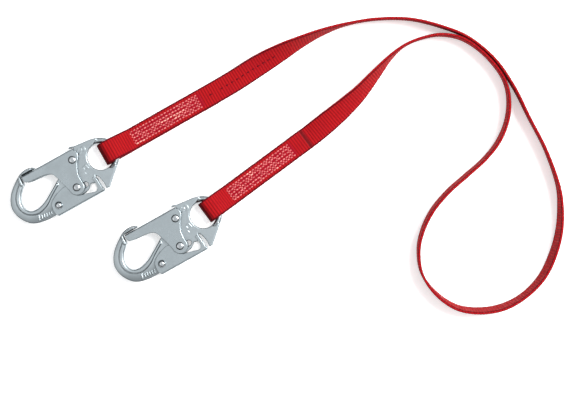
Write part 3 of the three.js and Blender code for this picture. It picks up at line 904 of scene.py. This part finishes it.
def torsion_spring(name, r, wire, low, turns, start, start_angle, end, material):
    """A coil of round wire, wire in radius, with a straight leg at each end."""
    pitch = wire * 2 + 0.15
    line = [(*start, low)]
    count = round(turns * 30)
    for i in range(count + 1):
        turn = turns * i / count
        angle = math.radians(start_angle) + turn * 2 * math.pi
        line.append((r * math.cos(angle), r * math.sin(angle), low + turn * pitch))
    line.append((*end, low + turns * pitch))
    _, line = resample(np.array(line), 0.35)
    along = tangents_of(line)
    side = np.cross(along, (0, 0, 1))
    side /= np.linalg.norm(side, axis=1)[:, None]
    up = np.cross(side, along)
    points, around = [], 10
    for i in range(len(line)):
        for j in range(around):
            a = 2 * math.pi * j / around
            points.append(line[i] + wire * (side[i] * math.cos(a) + up[i] * math.sin(a)))
    return new_object(name, points, tube_faces(len(line), around), material)


# --------------------------------------------------------------------- the build
def build_web():
    red = web_material()
    path = free_web_path()
    line = path[0]
    free_length = float(lengths(line)[-1])
    run = web_ribbon("free_web", path, SEWN_LENGTH, 1, red)
    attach(run, "web")
    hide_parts("web_run")
    for end in "ab":
        sewn = sewn_path(end)
        total = lengths(sewn[0])[-1]
        start, way = SEWN_LENGTH + LAP, -1
        if end == "b":
            start, way = SEWN_LENGTH + free_length - LAP, 1
        first, last = STITCH_START[end], STITCH_START[end] + STITCH_LENGTH
        piece = web_ribbon(f"sewn_end_{end}", sewn, start, way, red,
                           sealed_from=total - 4.5 * MM,
                           sewn=[(SEWN_LENGTH - last, SEWN_LENGTH - first),
                                 (total - TAIL_LENGTH + first, total - TAIL_LENGTH + last)],
                           fold=(total + SEWN_LENGTH - TAIL_LENGTH) / 2)
        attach(piece, "web")
        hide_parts(f"web_end_{end}")
    thread = thread_material("pale_thread", (0.92, 0.42, 0.36), (0.78, 0.24, 0.23),
                             (0.42, 0.03, 0.05))
    for end in "ab":
        sewing = stitches(f"thread_{end}", stitch_runs(end), thread, 0.85 * MM)
        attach(sewing, "web")
        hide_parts(f"stitching_{end}")
    dark = thread_material("dark_thread", (0.15, 0.002, 0.008), (0.15, 0.002, 0.008),
                           (0.09, 0.001, 0.005))
    tracer = stitches("tracer_dashes_a", tracer_runs(path), dark, 0.75 * MM)
    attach(tracer, "web")


def build_hooks():
    forged = steel_material("zinc_forging", (0.41, 0.462, 0.487), 0.33, 0.30)
    pressed = steel_material("zinc_sheet", (0.378, 0.428, 0.452), 0.30, 0.16)
    riveted = steel_material("zinc_rivet", (0.46, 0.49, 0.51), 0.20, 0.08)
    wire = steel_material("spring_wire", (0.32, 0.34, 0.36), 0.28, 0.10)
    gate_holes = [pivot_hole(GATE_PIVOT), pivot_hole(LOCK_PIN, PIN_HOLE)]
    lever_holes = [pivot_hole(LEVER_PIVOT)]
    # piece, the CAD node it stands for, its body, its slot, where it is in the hook
    made = [
        (hook_forging(forged), "hook_body", "hook", "forging", (0, 0)),
        (sheet_channel("gate", gate_outline(), GATE_TOP, (-88.5, -22.6), *GATE_SIDE,
                       gate_holes, pressed),
         "gate", "gate", "sheet", (0, 0)),
        (sheet_channel("lever", lever_outline(), LEVER_BOTTOM, (-73.4, -13.6), *LEVER_SIDE,
                       lever_holes, pressed),
         "lock_lever", "lever", "sheet", (0, 0)),
        (rivet("gate_rivet", 2.9, 8.5, 1.5, riveted), "gate_pivot_rivet", "hook", "rivet",
         GATE_PIVOT),
        (rivet("pin", 2.5, 8.5, 1.5, riveted), "lock_pin", "gate", "rivet", LOCK_PIN),
        (rivet("lever_rivet", 2.9, 6.4, 2.6, riveted), "lever_pivot_rivet", "hook", "rivet",
         LEVER_PIVOT),
        (torsion_spring("gate_coil", 4.3, 0.45, 2.9, 2.4, (-11.3, -9.4), 293, (-13.3, 7.8), wire),
         "gate_spring", "hook", "spring", GATE_PIVOT),
        (torsion_spring("lever_coil", 4.3, 0.4, 2.0, 1.63, (7.3, -4.5), 28, (13.3, -8.1), wire),
         "lever_spring", "hook", "spring", LEVER_PIVOT),
    ]
    for piece, node, body, slot, (x, y) in made:
        for vertex in piece.data.vertices:
            vertex.co += Vector((x, y, 0))
        for end in "ab":
            copy = place(piece, end, f"fine_{node}")
            if node in SPRING_LEGS:
                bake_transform(copy)
            else:
                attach(copy, f"{body}_{end}")
            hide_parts(f"{node}_{end}")
        bpy.data.objects.remove(piece)


make_camera()
make_stage()
build_web()
build_hooks()
